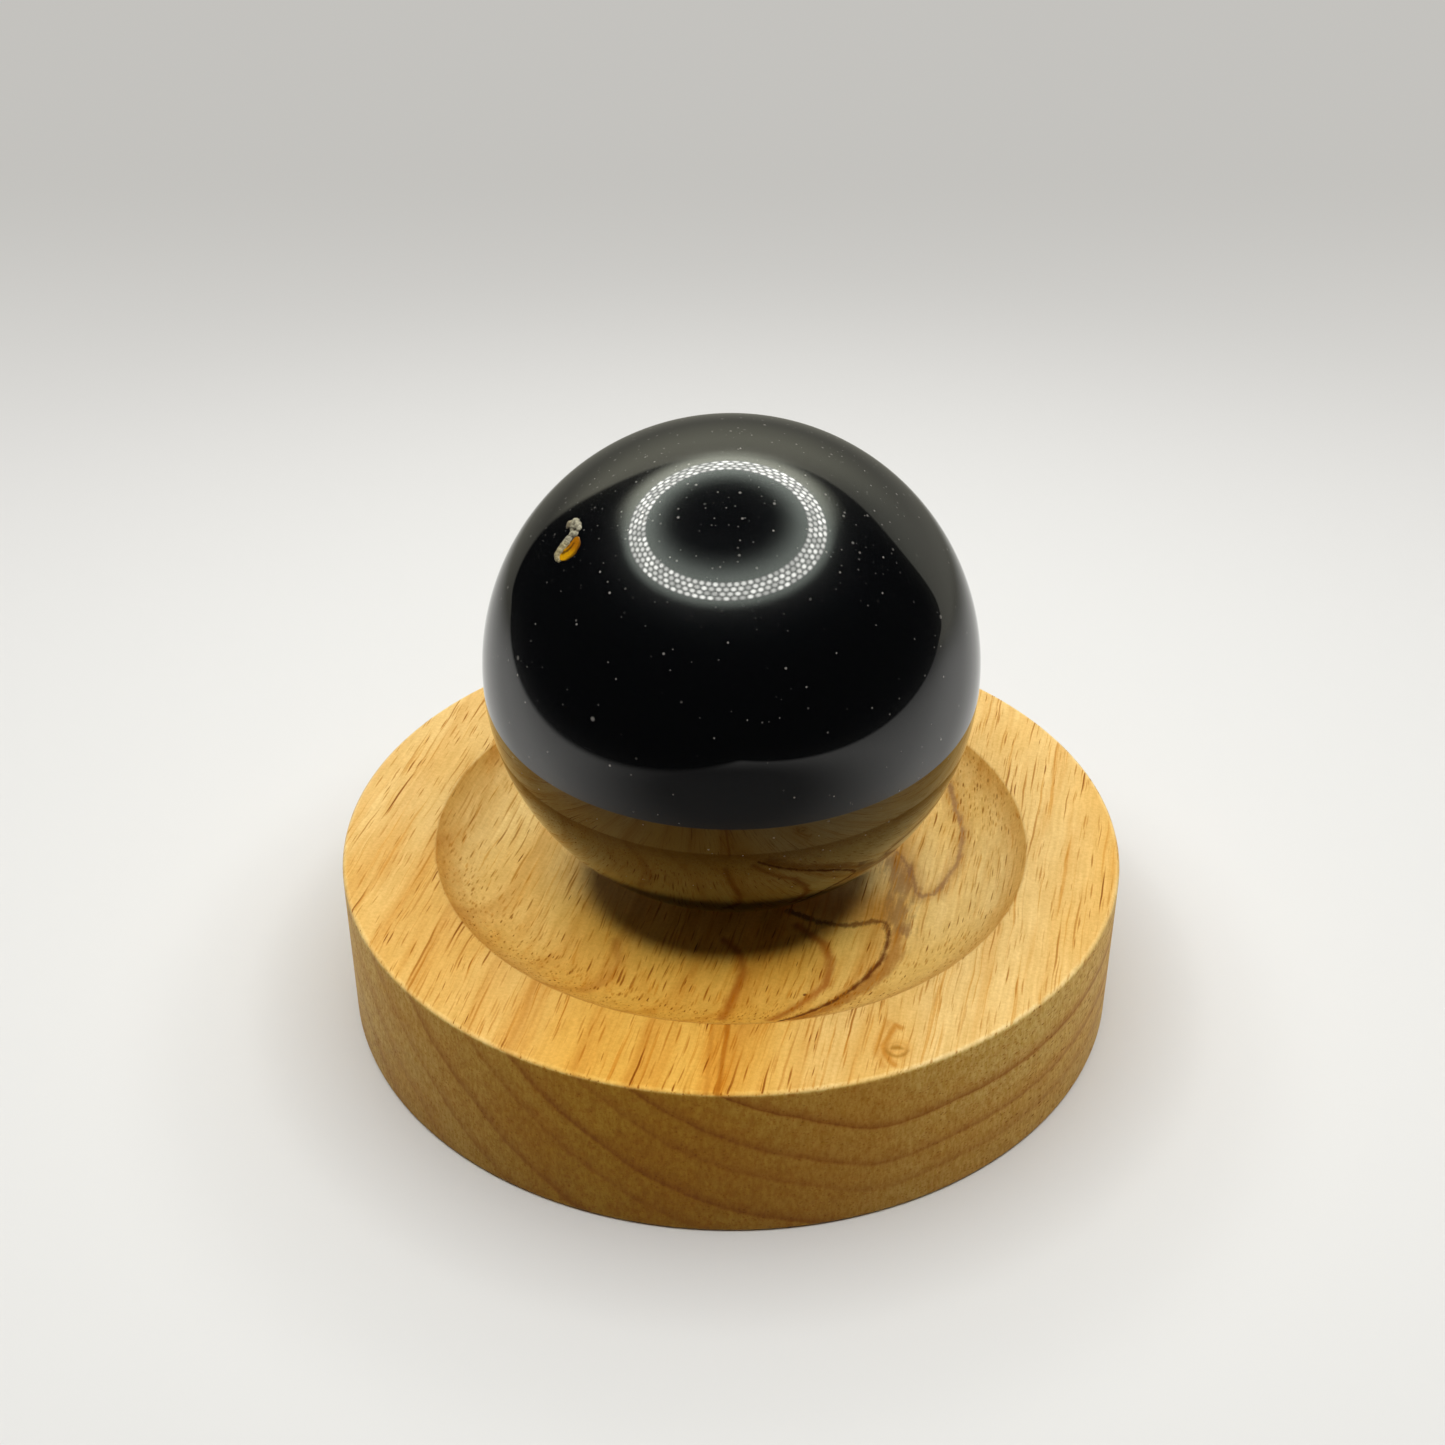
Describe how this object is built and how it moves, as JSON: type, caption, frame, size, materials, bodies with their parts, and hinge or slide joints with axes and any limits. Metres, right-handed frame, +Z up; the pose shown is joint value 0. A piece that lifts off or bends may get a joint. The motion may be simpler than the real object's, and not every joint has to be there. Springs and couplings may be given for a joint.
{
  "type": "display ball on stand",
  "caption": "Polished black stone ball with a small amber and white mineral inclusion, resting loose in the shallow dish of a thick round turned wooden stand.",
  "frame": {"origin": "centre of the stand's flat underside", "axes": "+Z up along the stand's turning axis and through the ball's centre; -Y towards the side that the picture shows, with the inclusion on the -X side"},
  "size_m": [0.098, 0.098, 0.0757],
  "materials": {
    "stand_wood": "sanded pale hardwood, satin",
    "ball_stone": "mirror polish",
    "amber_mineral": "polished flush with the ball",
    "white_mineral": "rough crystal crust"
  },
  "bodies": {
    "stand": {"wooden_stand": "stand_wood"},
    "ball": {"stone_ball": "ball_stone", "amber_grain": "amber_mineral", "white_crust": "white_mineral"}
  },
  "joints": [
    {"name": "ball_lift", "type": "slide", "parent": "stand", "child": "ball", "axis": [0, 0, 1], "range_m": [0, 0.06]}
  ]
}
